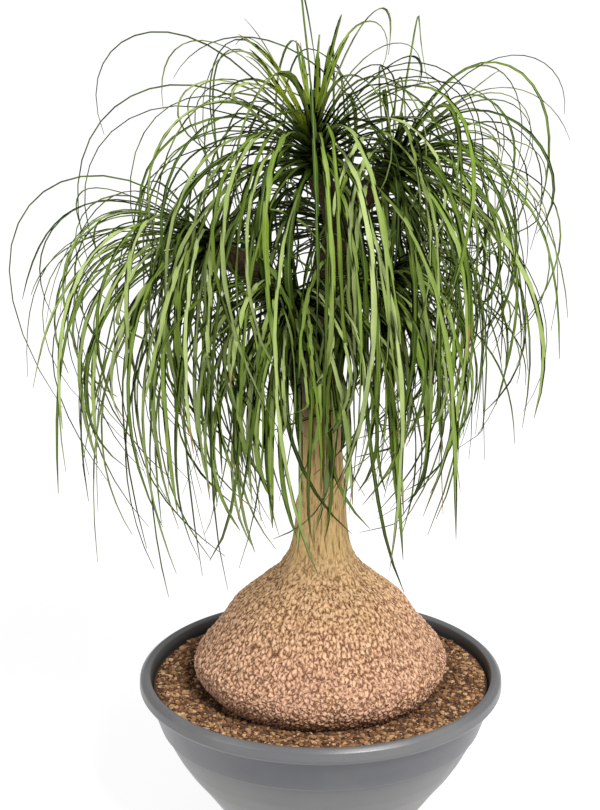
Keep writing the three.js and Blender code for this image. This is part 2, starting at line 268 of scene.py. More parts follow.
class Finish(Graph):
    """A material, with its Principled shader ready for constants and links."""

    def __init__(self, name, **constants):
        self.material = bpy.data.materials.new(name)
        self.material.use_nodes = True
        super().__init__(self.material.node_tree)
        self.shader = self.tree.nodes["Principled BSDF"]
        for key, value in constants.items():
            self.shader.inputs[key.replace("_", " ")].default_value = value

    def place(self):
        return self.node("ShaderNodeTexCoord")["Object"]

    def attribute(self, name, output="Fac"):
        return self.node("ShaderNodeAttribute", attribute_name=name)[output]

    def feed(self, socket, term):
        self.tree.links.new(term.socket, self.shader.inputs[socket])

    def bump(self, height, distance):
        """Height is from 0 to 1, and distance is its size in metres."""
        bump = self.node("ShaderNodeBump", {"Height": height, "Distance": distance, "Strength": 1.0})
        self.feed("Normal", bump["Normal"])


# Shapes

def in_metres(points):
    return [Vector(point) * MM for point in points]


def rounded(corners, steps=5):
    """The outline through corners of (x, y, rounding) in millimetres, as points in metres."""
    points = [Vector(corners[0][:2])]
    for before, corner, after in zip(corners, corners[1:], corners[2:]):
        middle = Vector(corner[:2])
        back = Vector(before[:2]) - middle
        ahead = Vector(after[:2]) - middle
        half = back.angle(ahead) / 2
        reach = min(corner[2] / math.tan(half), 0.45 * back.length, 0.45 * ahead.length)
        start = middle + back.normalized() * reach
        end = middle + ahead.normalized() * reach
        for i in range(steps + 1):
            share = i / steps
            points.append(start.lerp(middle, share).lerp(middle.lerp(end, share), share))
    points.append(Vector(corners[-1][:2]))
    return in_metres(points)


def smooth_line(points, steps):
    """More points along a smooth line through all the given ones: a Catmull-Rom curve."""
    rows = [Vector(point) for point in points]
    rows = [2 * rows[0] - rows[1], *rows, 2 * rows[-1] - rows[-2]]
    found = []
    for a, b, c, d in zip(rows, rows[1:], rows[2:], rows[3:]):
        for i in range(steps):
            t = i / steps
            slope = (c - a) * t + (2 * a - 5 * b + 4 * c - d) * t ** 2 + (3 * b - a - 3 * c + d) * t ** 3
            found.append(b + slope / 2)
    found.append(rows[-2])
    return found


def turn_outline(bm, outline, sides):
    """Turns an outline of (radius, height) once round Z into a closed shell."""
    verts = [bm.verts.new((radius, 0, height)) for radius, height in outline]
    edges = [bm.edges.new(pair) for pair in zip(verts, verts[1:])]
    bmesh.ops.spin(bm, geom=verts + edges, axis=(0, 0, 1), angle=2 * math.pi, steps=sides,
                   use_merge=True)
    bmesh.ops.remove_doubles(bm, verts=bm.verts, dist=0.01 * MM)
    bmesh.ops.recalc_face_normals(bm, faces=bm.faces)


def disc_face(bm, sides):
    """The face of a flat disc with a radius of 1, which is then extruded."""
    disc = bmesh.ops.create_circle(bm, cap_ends=True, segments=sides, radius=1)
    return disc["verts"][0].link_faces[0]


def extruded(bm, face):
    """Extrudes a face, and gives the new one at the end."""
    grown = bmesh.ops.extrude_face_region(bm, geom=[face])["geom"]
    return next(item for item in grown if isinstance(item, bmesh.types.BMFace))


def limb(bm, line, radii, steps, sides):
    """A closed round limb along a smooth line through points, with a radius at each, all in
    millimetres: a disc, extruded from place to place."""
    rows = smooth_line([(*point, radius * MM) for point, radius in zip(in_metres(line), radii)], steps)
    points = [row.xyz for row in rows]
    face = disc_face(bm, sides)
    place = Matrix.Identity(4)
    turn = Quaternion()
    way = Vector((0, 0, 1))
    for i, row in enumerate(rows):
        if i > 0:
            face = extruded(bm, face)
        ahead = points[min(i + 1, len(points) - 1)] - points[max(i - 1, 0)]
        turn = way.rotation_difference(ahead) @ turn
        way = ahead
        new_place = Matrix.LocRotScale(row.xyz, turn, Vector([row.w] * 3))
        bmesh.ops.transform(bm, matrix=new_place @ place.inverted(), verts=face.verts)
        place = new_place


def new_mesh(name, bm):
    mesh = bpy.data.meshes.new(name)
    bm.to_mesh(mesh)
    bm.free()
    return mesh


def joined(name, meshes):
    """A mesh that holds all the given ones, in their order."""
    bm = bmesh.new()
    for mesh in meshes:
        bm.from_mesh(mesh)
    return new_mesh(name, bm)


def unit(rows):
    """A vector, or each of several rows, made one unit long."""
    return rows / np.maximum(np.linalg.norm(rows, axis=-1, keepdims=True), 1e-9)


def places_of(mesh):
    found = np.empty(len(mesh.vertices) * 3)
    mesh.vertices.foreach_get("co", found)
    return found.reshape(-1, 3)


def set_places(mesh, places):
    mesh.vertices.foreach_set("co", np.asarray(places, np.float32).ravel())
    mesh.update()


def add_attribute(mesh, name, values, kind="FLOAT"):
    attribute = mesh.attributes.new(name, kind, "POINT")
    field = "value" if kind == "FLOAT" else "vector"
    attribute.data.foreach_set(field, np.asarray(values, np.float32).ravel())


def settled(piece):
    """The piece's mesh with its modifiers applied."""
    bpy.context.view_layer.update()
    shown = piece.evaluated_get(bpy.context.evaluated_depsgraph_get())
    mesh = bpy.data.meshes.new_from_object(shown)
    piece.modifiers.clear()
    piece.data = mesh
    return mesh


def new_object(name, data):
    made = bpy.data.objects.new(name, data)
    bpy.context.scene.collection.objects.link(made)
    return made


def new_piece(name, mesh, finish, replaced):
    """Makes a mesh a piece of the part: gives it its finish and its body, and hides the node of the
    solids that it replaces.
    """
    mesh.polygons.foreach_set("use_smooth", [True] * len(mesh.polygons))
    mesh.materials.append(finish.material)
    piece = new_object(name, mesh)
    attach(piece, "root")
    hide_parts(replaced)
    return piece


def color_setting(name, description, default):
    return FloatVectorProperty(name=name, description=description, subtype="COLOR", default=default,
                               min=0, max=1)


def size_setting(name, description, default):
    return FloatProperty(name=name, description=description, subtype="DISTANCE", unit="LENGTH",
                         default=default)


# The pot

class PotSettings(bpy.types.PropertyGroup):
    """Facets and finish of the bowl."""

    sides: IntProperty(name="Sides", description="Facets round the bowl", default=144, min=24)
    plastic: color_setting("Plastic", "Colour of the moulded plastic", (0.082, 0.085, 0.095))
    # The worn colour also paints light: the lip's top and the lower bowl are lighter than the band under
    # the lip.
    worn_and_lit: color_setting("Worn plastic", "Colour where it is rubbed or dusty", (0.165, 0.163, 0.156))
    # The inner wall's colour is soil stain and painted shade inside the bowl.
    stain_and_shade: color_setting("Stained plastic", "Colour of the inner wall", (0.022, 0.021, 0.020))
    grain: size_setting("Grain", "Depth of the moulded surface", 0.06 * MM)


def plastic_finish(settings):
    finish = Finish("grey plastic", Roughness=0.4)
    place = finish.place()
    cloudy = finish.smooth(finish.noise(place, 14.0, 5.0, 0.6), 0.38, 0.75)
    scuffed = finish.smooth(finish.noise(finish.stretched(place, (1, 1, 9)), 60.0, 4.0, 0.7), 0.58, 0.8)
    height = finish.part(place, "Z")
    # Lighter on the lower bowl and on the lip's top than in the band under the lip: painted light on the
    # lip and painted shade under it.
    painted_light_and_shade = 0.60 * (1 - finish.smooth(height, 78 * MM, 116 * MM)) + 0.35 * finish.smooth(
        height, RIM_HEIGHT - 17 * MM, RIM_HEIGHT - 10 * MM)
    color = finish.mix(0.25 * cloudy + 0.20 * scuffed + painted_light_and_shade, settings.plastic, settings.worn_and_lit)
    # The inner wall darkens below the lip: soil stain and painted shade inside the bowl.
    inside = finish.attribute("inside")
    finish.feed("Base Color", finish.mix(inside, color, settings.stain_and_shade))
    finish.feed("Roughness", 0.30 + 0.12 * cloudy + 0.12 * scuffed + 0.35 * inside)
    finish.bump(finish.noise(place, 900.0, 2.0), settings.grain)
    return finish


def mark_inside(mesh):
    """Marks the vertices of the inner wall, which start to darken just below the lip: soil stain and
    painted shade inside the bowl.
    """
    places = places_of(mesh)
    radius = np.hypot(places[:, 0], places[:, 1]) / MM
    height = places[:, 2] / MM
    wall = POT_OUTSIDE[5:]
    outer = np.interp(height, [point[1] for point in wall], [point[0] for point in wall])
    inside = np.clip(outer - radius - 2, 0, 1) * np.clip((151 - height) / 5, 0, 1)
    add_attribute(mesh, "inside", inside * (height > 4))


class PALM_OT_pot(bpy.types.Operator):
    """Turn the bowl with its rolled lip, raised line and foot ring"""

    bl_idname = "palm.pot"
    bl_label = "Pot"

    def execute(self, context):
        settings = context.scene.palm_pot
        bm = bmesh.new()
        turn_outline(bm, rounded(POT_OUTSIDE + POT_INSIDE), settings.sides)
        mesh = new_mesh("bowl", bm)
        mark_inside(mesh)
        new_piece("bowl", mesh, plastic_finish(settings), "pot")
        return {"FINISHED"}


# The soil

class SoilSettings(bpy.types.PropertyGroup):
    """The gritty mix and its loose grains."""

    grains: IntProperty(name="Grains", description="Loose grains on the surface", default=6000, min=0)
    smallest: size_setting("Smallest grain", "Size of the smallest grain", 2.4 * MM)
    largest: size_setting("Largest grain", "Size of the largest grain", 7.0 * MM)
    dark: color_setting("Dark grit", "Colour of the damp grit below", (0.040, 0.017, 0.008))
    brown: color_setting("Brown grit", "Colour of most grains", (0.190, 0.083, 0.028))
    pale: color_setting("Pale grit", "Colour of the dry and mineral grains", (0.550, 0.340, 0.175))


def soil_finish(settings):
    """The soil below and each grain on it, whose own tone says how dry and pale it is."""
    finish = Finish("brown grit", Roughness=0.9)
    place = finish.place()
    speckle = finish.noise(place, 900.0, 3.0, 0.6)
    mixed = finish.attribute("tone") + 0.35 * (speckle - 0.5)
    tan = [0.5 * (a + b) for a, b in zip(settings.brown, settings.pale)]
    ramp = finish.node("ShaderNodeValToRGB", {"Fac": mixed}, stops=[
        (0.05, settings.dark), (0.42, settings.brown), (0.75, tan), (1.0, settings.pale)])
    finish.feed("Base Color", ramp["Color"])
    finish.bump(speckle, 0.5 * MM)
    return finish


def soil_lumps(x, y):
    """Unevenness of the surface at a place, in metres."""
    wide = noise.noise(Vector((x, y, 0.1)) * 60)
    fine = noise.noise(Vector((x, y, 0.7)) * 170)
    return MM * (1.6 * wide + 0.8 * fine)


def soil_height(radius):
    """Height of the soil's top at a radius, on its outline."""
    top = [point for point in SOIL_OUTLINE if point[1] > SURFACE_FROM]
    return MM * np.interp(radius / MM, [point[0] for point in top], [point[1] for point in top])


def soil_mesh():
    bm = bmesh.new()
    turn_outline(bm, rounded(SOIL_OUTLINE, 3), 160)
    surface = [edge for edge in bm.edges if edge.calc_length() > 2.5 * MM
               and min(vert.co.z for vert in edge.verts) > SURFACE_FROM * MM]
    bmesh.ops.subdivide_edges(bm, edges=surface, cuts=2, use_grid_fill=True)
    for vert in bm.verts:
        if vert.co.z > SURFACE_FROM * MM and vert.co.xy.length < 164 * MM:
            vert.co.z += soil_lumps(vert.co.x, vert.co.y)
    return new_mesh("soil bed", bm)


def pebble(number):
    """A small irregular grain, about one unit across."""
    rng = random.Random(number)
    bm = bmesh.new()
    bmesh.ops.create_icosphere(bm, subdivisions=1, radius=0.5)
    for vert in bm.verts:
        vert.co *= rng.uniform(0.72, 1.15)
    return new_mesh(f"grain {number}", bm)


def grain_mesh(settings):
    """All the loose grains as one mesh, with each grain's tone."""
    rng = random.Random(5)
    kinds = [pebble(number) for number in range(6)]
    shapes = [places_of(kind) for kind in kinds]
    mesh = joined("grains", [kinds[0]] * settings.grains)
    inner, outer = GRAIN_ROOM
    places = []
    tones = []
    for _ in range(settings.grains):
        size = settings.smallest + (settings.largest - settings.smallest) * rng.random() ** 2.6
        radius = math.sqrt(rng.uniform(inner ** 2, outer ** 2))
        angle = rng.uniform(0, 2 * math.pi)
        x = radius * math.cos(angle)
        y = radius * math.sin(angle)
        room = max(0, min(radius - inner, outer - radius) / size)
        lift = size * rng.uniform(-0.15, 0.25) * min(1, room)
        flat = Vector((rng.uniform(0.8, 1.4), rng.uniform(0.7, 1.0), rng.uniform(0.45, 0.8))) * size
        turn = Matrix.Rotation(rng.uniform(0, 6.283), 3, "Z")
        turn = turn @ Matrix.Rotation(rng.gauss(0, 0.35), 3, "X")
        shape = shapes[rng.randrange(len(shapes))] * np.array(flat)
        middle = (x, y, soil_height(radius) + soil_lumps(x, y) + lift)
        places.append(shape @ np.array(turn).T + middle)
        front = 0.5 - 0.5 * math.sin(angle)
        edge = (radius - inner) / (outer - inner)
        tone = 0.24 + 0.20 * edge + 0.14 * edge * front + rng.gauss(0, 0.19)
        if rng.random() < 0.04 + 0.20 * edge:
            tone = rng.uniform(0.70, 1.0)
        tones.append(min(1, max(0, tone)))
    set_places(mesh, np.concatenate(places))
    add_attribute(mesh, "tone", np.repeat(tones, len(shapes[0])))
    return mesh


class PALM_OT_soil(bpy.types.Operator):
    """Fill the bowl with lumpy soil and scatter its loose grains"""

    bl_idname = "palm.soil"
    bl_label = "Soil"

    def execute(self, context):
        settings = context.scene.palm_soil
        bed = soil_mesh()
        add_attribute(bed, "tone", np.full(len(bed.vertices), 0.12))
        finish = soil_finish(settings)
        new_piece("soil_bed", bed, finish, "soil")
        grains = new_piece("soil_grains", grain_mesh(settings), finish, "soil")
        grains.data.polygons.foreach_set("use_smooth", [False] * len(grains.data.polygons))
        return {"FINISHED"}


# The stem

class BarkSettings(bpy.types.PropertyGroup):
    """The bark's plates, cracks and colours."""

    voxel: size_setting("Mesh size", "Size of the faces of the joined stem", 1.9 * MM)
    plate: size_setting("Plate size", "Size of the bark's plates on the swollen base", 4.7 * MM)
    depth: size_setting("Crack depth", "How far the plates stand out of the cracks", 1.8 * MM)
    crack: color_setting("Cracks", "Colour in the cracks", (0.100, 0.036, 0.012))
    cork: color_setting("Cork", "Colour of the plates", (0.345, 0.168, 0.083))
    # The crests' colour paints a highlight on the plates' tops, and on the trunk it also mottles the
    # bark.
    crest: color_setting("Crests", "Colour of the plates' weathered tops", (0.705, 0.425, 0.262))
    blush: color_setting("Blush", "Pinker colour of the bark in places", (0.600, 0.330, 0.225))
    ochre: color_setting("Ochre", "Greener colour of the bark higher up", (0.620, 0.450, 0.150))
    branch: color_setting("Branches", "Colour of the upper branches", (0.045, 0.020, 0.009))


def bark_plates(graph, place):
    """The bark's pattern at a place given in plates: the crest of each plate, from 0 in the
    cracks to 1, how far a place is from a crack, and each plate's own shade. The cracks wander,
    and they widen, narrow and fade out along their way."""
    warp = graph.node("ShaderNodeTexNoise", {"Vector": place, "Scale": 1.1, "Detail": 3.0})["Color"]
    moved = graph.node("ShaderNodeVectorMath", {"Vector": warp, "Vector_001": (0.9, 0.9, 0.9),
                                                "Vector_002": place}, operation="MULTIPLY_ADD")["Vector"]
    edge = graph.cells(moved, feature="DISTANCE_TO_EDGE")["Distance"]
    shade = graph.part(graph.cells(moved)["Color"], "X")
    open_crack = graph.smooth(graph.noise(place, 1.25, 2.0), 0.36, 0.60)
    away = edge + 0.20 * (1 - open_crack)
    crest = graph.smooth(away, 0.0, 0.50) * (0.65 + 0.35 * shade)
    return crest, away, shade


def raise_bark(piece, settings):
    """Moves the surface by the same pattern that colours it, and applies that."""
    tree = bpy.data.node_groups.new("bark relief", "GeometryNodeTree")
    for way in ("INPUT", "OUTPUT"):
        tree.interface.new_socket("Geometry", in_out=way, socket_type="NodeSocketGeometry")
    graph = Graph(tree)
    place, relief = [
        graph.node("GeometryNodeInputNamedAttribute", {"Name": name}, data_type=kind)["Attribute"]
        for name, kind in (("bark", "FLOAT_VECTOR"), ("relief", "FLOAT"))]
    crest = bark_plates(graph, place)[0]
    raised = (crest - 0.6) * relief * settings.depth
    normal = graph.node("GeometryNodeInputNormal")["Normal"]
    offset = graph.node("ShaderNodeVectorMath", {"Vector": normal, "Scale": raised}, operation="SCALE")
    given = graph.node("NodeGroupInput")["Socket_0"]
    moved = graph.node("GeometryNodeSetPosition", {"Geometry": given, "Offset": offset["Vector"]})
    graph.node("NodeGroupOutput", {"Socket_1": moved["Geometry"]})
    piece.modifiers.new("Bark relief", "NODES").node_group = tree
    settled(piece)


def bark_finish(settings):
    finish = Finish("tan bark", Roughness=0.85)
    bark = finish.attribute("bark", "Vector")
    relief = finish.attribute("relief")
    height = finish.part(finish.place(), "Z")
    crest, away, shade = bark_plates(finish, bark)
    fine = finish.noise(bark, 2.4, 4.0, 0.65)
    slow = finish.noise(bark, 0.11, 3.0, 0.6)
    # Each plate is paler towards its crest: a painted highlight on the plates' tops.
    plate = finish.mix(finish.smooth(0.8 * crest + 0.9 * (fine - 0.5) + 0.10 * shade, 0.05, 0.60),
                       settings.cork, settings.crest)
    older = finish.smooth(height + 90 * MM * (slow - 0.5), 185 * MM, 275 * MM)
    plate = finish.mix(0.55 * finish.smooth(slow, 0.42, 0.66) * (1 - older), plate, settings.blush)
    plate = finish.mix(0.28 * older, plate, settings.ochre)
    cracked = finish.mix(finish.smooth(away + 0.25 * (fine - 0.5), -0.01, 0.20), settings.crack, plate)
    # Darker just above the soil: soil dirt, and painted contact shade where the stem meets it.
    dirt_and_contact_shade = 1 - finish.smooth(height + 30 * MM * (slow - 0.5), SOIL_LEVEL, SOIL_LEVEL + 16 * MM)
    cracked = finish.mix(0.55 * dirt_and_contact_shade, cracked, settings.crack)
    strands = finish.noise(finish.stretched(bark, (1.7, 1.7, 0.22)), 1.0, 5.0, 0.7)
    fissure = finish.smooth(strands, 0.28, 0.48)
    trunk = finish.mix(finish.smooth(fine, 0.35, 0.65), settings.cork, settings.crest)
    trunk = finish.mix(fissure, settings.crack, finish.mix(0.60, trunk, settings.ochre))
    bands = finish.noise(finish.stretched(bark, (0.5, 0.5, 3.4)), 1.0, 4.0, 0.6)
    scars = finish.smooth(bands, 0.42, 0.60)
    branch = finish.mix(0.5 * scars, settings.branch, settings.crack)
    branch = finish.mix(0.2 * finish.smooth(fine, 0.5, 0.8), branch, settings.ochre)
    upper = finish.mix(finish.smooth(height + 60 * MM * (fine - 0.5), 370 * MM, 460 * MM), trunk, branch)
    color = finish.mix(finish.smooth(relief, 0.25, 0.80), upper, cracked)
    finish.feed("Base Color", color)
    finish.feed("Roughness", 0.74 + 0.18 * (1 - crest))
    finish.bump(0.4 * fine + 1.3 * crest * relief + 0.8 * fissure * (1 - relief), 1.7 * MM)
    return finish


def stem_shell():
    """The swollen base, the trunk, the branches and the roots as closed shells in each other."""
    bm = bmesh.new()
    outline = smooth_line(in_metres((radius, height) for height, radius in CAUDEX), 3)
    turn_outline(bm, [(max(0, point.x), point.y) for point in outline], 96)
    limb(bm, TRUNK_LINE, TRUNK_RADII, 4, 32)
    for head in HEADS:
        foot = Vector(head.foot)
        way = Vector(head.axis).normalized()
        limb(bm, [*head.branch, foot - way * BRANCH_END, foot], BRANCH_RADII, 4, 24)
    for turn, start, end in ROOTS:
        spin = Matrix.Rotation(math.radians(turn), 3, "Z")
        middle = ((start[0] + end[0]) / 2, 5, (start[1] + end[1]) / 2 + 4)
        line = [spin @ Vector(p) for p in ((start[0], 0, start[1]), middle, (end[0], -4, end[1]))]
        limb(bm, line, ROOT_RADII, 3, 12)
    bmesh.ops.recalc_face_normals(bm, faces=bm.faces)
    return new_mesh("stem", bm)


def lumps(places):
    """Slow unevenness of the swollen base and flutes at its neck, in metres along the radius."""
    found = []
    for x, y, z in places:
        wide = noise.noise(Vector((x, y, z)) * 13) * 3.0 + noise.noise(Vector((x, y, z)) * 34) * 1.2
        turn = math.atan2(y, x)
        neck = math.exp(-((z - 0.268) / 0.045) ** 2)
        flute = math.sin(7 * turn + 3 * noise.noise(Vector((x, y, z * 0.3)) * 20))
        found.append(wide * min(1, math.hypot(x, y) / 0.06) + 1.4 * neck * flute)
    return np.array(found) * MM


def mark_bark(mesh, settings):
    """Gives each vertex its place in the bark's pattern, counted in plates, and its relief."""
    places = places_of(mesh)
    heights = np.arange(0, 0.9, 0.005)
    tall = np.interp(heights, [0.150, 0.185, 0.225, 0.300, 0.400], [1.0, 0.82, 0.56, 0.34, 0.30])
    climbed = np.concatenate([[0], np.cumsum(tall[:-1] * 0.005)])
    z = places[:, 2]
    narrow = np.interp(z, [0.165, 0.235, 0.320], [1.0, 1.12, 1.45])
    bark = np.stack([places[:, 0] * narrow, places[:, 1] * narrow, np.interp(z, heights, climbed)], 1)
    add_attribute(mesh, "bark", bark / settings.plate, "FLOAT_VECTOR")
    add_attribute(mesh, "relief", np.interp(z, [0.215, 0.260, 0.305, 0.400], [1.0, 0.75, 0.25, 0.15]))


class PALM_OT_stem(bpy.types.Operator):
    """Grow the swollen base, trunk, branches and roots as one piece with plated bark"""

    bl_idname = "palm.stem"
    bl_label = "Stem"

    def execute(self, context):
        settings = context.scene.palm_bark
        piece = new_piece("stem_bark", stem_shell(), bark_finish(settings), "stem")
        remesh = piece.modifiers.new("Join", "REMESH")
        remesh.mode = "VOXEL"
        remesh.voxel_size = settings.voxel
        remesh.use_smooth_shade = True
        soften = piece.modifiers.new("Soften", "SMOOTH")
        soften.factor = 0.5
        soften.iterations = 14
        mesh = settled(piece)
        places = places_of(mesh)
        low = np.interp(places[:, 2], [0.120, 0.135, 0.360, 0.420], [0, 1, 1, 0])
        set_places(mesh, places + unit(places * (1, 1, 0)) * (lumps(places) * low)[:, None])
        mark_bark(mesh, settings)
        raise_bark(piece, settings)
        return {"FINISHED"}


# The leaves

class LeafSettings(bpy.types.PropertyGroup):
    """Form and colours of the leaves."""

    channel: FloatProperty(
        name="Channel", description="Depth of a leaf's channel as a share of its width",
        default=0.15, min=0, max=0.5)
    thickness: size_setting("Thickness", "Thickness of a leaf at its middle", 0.7 * MM)
    breadth: FloatProperty(
        name="Breadth", description="Width of a leaf as a share of the solids' width",
        default=0.68, min=0.2)
    # The darkest colour also paints shade: on the inner leaves and at the leaf bases inside the crown.
    dark: color_setting("Dark green", "Colour of the darkest leaves", (0.018, 0.040, 0.001))
    green: color_setting("Green", "Colour of most leaves", (0.125, 0.195, 0.014))
    # The palest colour is a painted highlight: it paints the draping front leaves and the pale middle of
    # each blade.
    sage_highlight: color_setting("Sage", "Colour of the palest leaves", (0.360, 0.430, 0.170))
    young: color_setting("Young green", "Colour of the young leaves", (0.540, 0.640, 0.030))
    dry: color_setting("Dry tips", "Colour of the dry tips", (0.300, 0.190, 0.070))


class Draw:
    """A row of even numbers from 0 to 1, the same each time for the same leaf and try."""

    prime = 2147483647

    def __init__(self, head, leaf, attempt):
        self.seed = 1 + (head * 7919 + leaf * 104729 + attempt * 1299709) % (self.prime - 1)
        for _ in range(4):
            self.next()

    def next(self):
        self.seed = self.seed * 16807 % self.prime
        return self.seed / self.prime

    def spread(self, size):
        return (2 * self.next() - 1) * size


def mixed(low, high, share):
    return low + (high - low) * share


class Leaf:
    """The line of one leaf, by the rule that the solids' blades follow: it leaves the crown at
    its own lean and bends down under its own weight."""

    def __init__(self, head, number, t, attempt=0, kind="solid", upright=0.0):
        draw = Draw(head.number, number, attempt)
        sort = LEAF_KINDS[kind]
        way = unit(np.array(head.axis, float))
        young = max(0, (t - 0.85) / 0.15)
        turn = math.radians(number * GOLDEN_ANGLE + draw.spread(10 + 6 * attempt))
        lean = math.radians(mixed(98, 22, t ** 0.75) + draw.spread(8 + 3 * attempt)) * (1 - upright)
        side = unit(np.cross((0, 1, 0), way))
        outward = side * math.cos(turn) + np.cross(way, side) * math.sin(turn)
        start = way * math.cos(lean) + outward * math.sin(lean)
        steep = math.asin(min(0.9995, max(-0.9995, start[2])))
        self.fall = math.pi / 2 + steep * (head.rise if steep > 0 else 1)
        self.bearing = math.atan2(start[1], start[0])

        growth = 1.05 - 0.08 * t - 0.30 * t * t - 0.30 * young + head.front * max(0, -outward[1])
        self.length = head.length * MM * growth * (1 + draw.spread(0.22)) * sort.length
        softness = mixed(1.30, 0.50, draw.next() ** 2)
        self.limp = head.limp / MM * softness * (1 - 0.15 * young) * (1 - 0.7 * upright) * self.length
        self.limp *= sort.limp
        self.sweep = math.radians(draw.spread(45))
        self.sway = mixed(0.05, 0.32, draw.next() ** 1.5)
        self.sway_way = 2 * math.pi * draw.next()
        self.sway_turn = draw.spread(3.2)
        self.curl = mixed(-0.05, 0.95, draw.next())
        self.width = mixed(6.0, 10.0, draw.next()) * MM
        self.twist = draw.spread(1.2)
        front = max(0, -math.sin(self.bearing))
        left = 1.0 if outward[0] < 0 else 0.25
        # Each leaf's tone is random within its kind's range, and a little paler towards the front:
        # painted light.
        self.tone = mixed(*sort.tones, draw.next()) * mixed(0.9, 1.0, front)
        self.breadth = sort.breadth * mixed(0.48, 1.0, front)
        self.young = min(1, young * 0.35 + upright * 1.6) * head.fresh * left
        self.dry = max(0, draw.next() - 0.6)
        self.hook = sort.hook * draw.next()
        self.crease = mixed(0.9, 1.8, draw.next()) if kind == "free" and number % 13 == 5 else 0.0
        self.crease_at = mixed(0.50, 0.85, draw.next())
        self.ragged = draw.spread(30) * MM
        self.end = 1.0

        root = np.array(head.foot) * MM + way * mixed(LOWEST_LEAF, HIGHEST_LEAF, t)
        root = root + outward * CROWN_RADIUS * (1 - 0.6 * t)
        steps = self.direction((np.arange(LEAF_STEPS) + 0.5) / LEAF_STEPS) * self.length / LEAF_STEPS
        self.points = np.vstack([root, root + np.cumsum(steps, axis=0)])

    def direction(self, m):
        """The way the leaf goes at shares m of its length."""
        bending = self.limp * m * (0.35 + 0.95 * m)
        bent = 2 * np.arctan(math.tan(self.fall / 2) * np.exp(-bending))
        heading = self.bearing + self.sweep * m * m
        swing = self.sway_way + self.sway_turn * m
        reach = np.sin(bent) - self.curl * m * m - self.hook * np.clip((m - 0.5) / 0.5, 0, 1) ** 1.5
        reach = reach - self.crease * np.clip((m - self.crease_at) / 0.03, 0, 1)
        return unit(np.stack([reach * np.cos(heading) + self.sway * m * np.cos(swing),
                              reach * np.sin(heading) + self.sway * m * np.sin(swing),
                              -np.cos(bent)], 1))

    def across(self, m):
        """The way from one margin to the other, at right angles to the line."""
        heading = self.bearing + self.sweep * m * m
        along = self.direction(m)
        level = np.stack([-np.sin(heading), np.cos(heading), np.zeros(len(m))], 1)
        level = unit(level - along * np.sum(level * along, axis=1, keepdims=True))
        turn = (self.twist * m)[:, None]
        return level * np.cos(turn) + np.cross(along, level) * np.sin(turn)

    def trim(self):
        """Ends the leaf at the plant's hem, and gives the share of it that is left."""
        hem = np.interp(self.points[:, 0] / MM, *zip(*HEM)) * MM + self.ragged
        hem += HEM_FRONT * np.maximum(0, -self.points[:, 1])
        below = np.flatnonzero(self.points[:, 2] < hem)
        if len(below):
            self.end = below[0] / LEAF_STEPS
        return self.end

    def places(self, m):
        """Points of a smooth curve through the line's own points, at shares m of its length."""
        first = np.minimum((m * LEAF_STEPS).astype(int), LEAF_STEPS - 1)
        s = (m * LEAF_STEPS - first)[:, None]
        slopes = self.direction(np.arange(LEAF_STEPS + 1) / LEAF_STEPS) * self.length / LEAF_STEPS
        start, end = self.points[first], self.points[first + 1]
        return (start + (end - start) * (3 - 2 * s) * s * s + slopes[first] * s * (1 - s) ** 2
                - slopes[first + 1] * s * s * (1 - s))

    def rings(self):
        """Shares of the length at which the blade has a ring, closer where it bends more."""
        m = np.linspace(0, 1, 97)
        along = self.direction(m)
        bends = np.arccos(np.clip(np.sum(along[1:] * along[:-1], axis=1), -1, 1))
        effort = np.concatenate([[0], np.cumsum(0.45 / len(bends) + 0.55 * bends / bends.sum())])
        return np.interp(np.linspace(0, effort[-1], LEAF_RINGS), effort, m)


def same_as_solid(head, number, found):
    """The leaf as it is bent in the solids, where its tip's corners are, or None."""
    for attempt in range(LEAF_TRIES):
        leaf = Leaf(head, number, (number + 0.5) / head.leaves, attempt)
        if len(found.find_range(leaf.points[-1], TIP_ROOM)) >= 2:
            high = leaf.points[-1, 2] > HIGHEST_TIP
            leaf.end = SHORTEST_SOLID if high else max(SHORTEST_SOLID, leaf.trim())
            return leaf
    return None


def clear_leaf(head, number, t, kind, solids, upright=0.0):
    """The first way to bend a leaf that keeps it in the part's box and off the other pieces."""
    low, high = (np.array(corner) for corner in CAD_BOX)
    for attempt in range(LEAF_TRIES):
        leaf = Leaf(head, number, t, attempt, kind, upright)
        if (leaf.points < low - BOX_ROOM).any() or (leaf.points > high + BOX_ROOM).any():
            continue
        if leaf.points[:, 2].max() > HIGHEST_ARCH or leaf.trim() < SHORTEST_LEAF:
            continue
        if kind == "draping" and not DRAPING_WAYS[0] < math.sin(leaf.bearing) < DRAPING_WAYS[1]:
            continue
        beyond_crown = leaf.points[5:]
        if all(solids.find_nearest(Vector(point), LEAF_ROOM)[0] is None for point in beyond_crown):
            return leaf
    return None


def head_leaves(head, solids):
    """A head's leaves: every other one is a leaf of the solids, and free ones stand between
    them. Then come those of the further kinds."""
    corners = places_of(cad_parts[head.name].data)
    found = KDTree(len(corners))
    for i, corner in enumerate(corners):
        found.insert(corner, i)
    found.balance()
    leaves = []
    for number in range(head.leaves):
        t = (number + 0.5) / head.leaves
        leaf = same_as_solid(head, number, found) if number % 2 == 0 else None
        leaves.append(leaf or clear_leaf(head, number, t, "free", solids))
    for kind in ("upright", "draping", "inner"):
        count = getattr(head, kind)
        for extra in range(count):
            t = mixed(*LEAF_KINDS[kind].seat, extra / count)
            upright = mixed(0.10, 0.80, extra / count) if kind == "upright" else 0.0
            leaves.append(clear_leaf(head, len(leaves), t, kind, solids, upright))
    return [leaf for leaf in leaves if leaf]


def blade_template():
    """A straight blade with four sides: a disc, extruded once for each further ring. Its two
    margins are sharp."""
    bm = bmesh.new()
    face = disc_face(bm, 4)
    for _ in range(LEAF_RINGS - 1):
        face = extruded(bm, face)
        bmesh.ops.translate(bm, vec=(0, 0, 1), verts=face.verts)
    bmesh.ops.recalc_face_normals(bm, faces=bm.faces)
    for edge in bm.edges:
        edge.smooth = min(abs(vert.co.x) for vert in edge.verts) < 0.5
    return new_mesh("blade", bm)


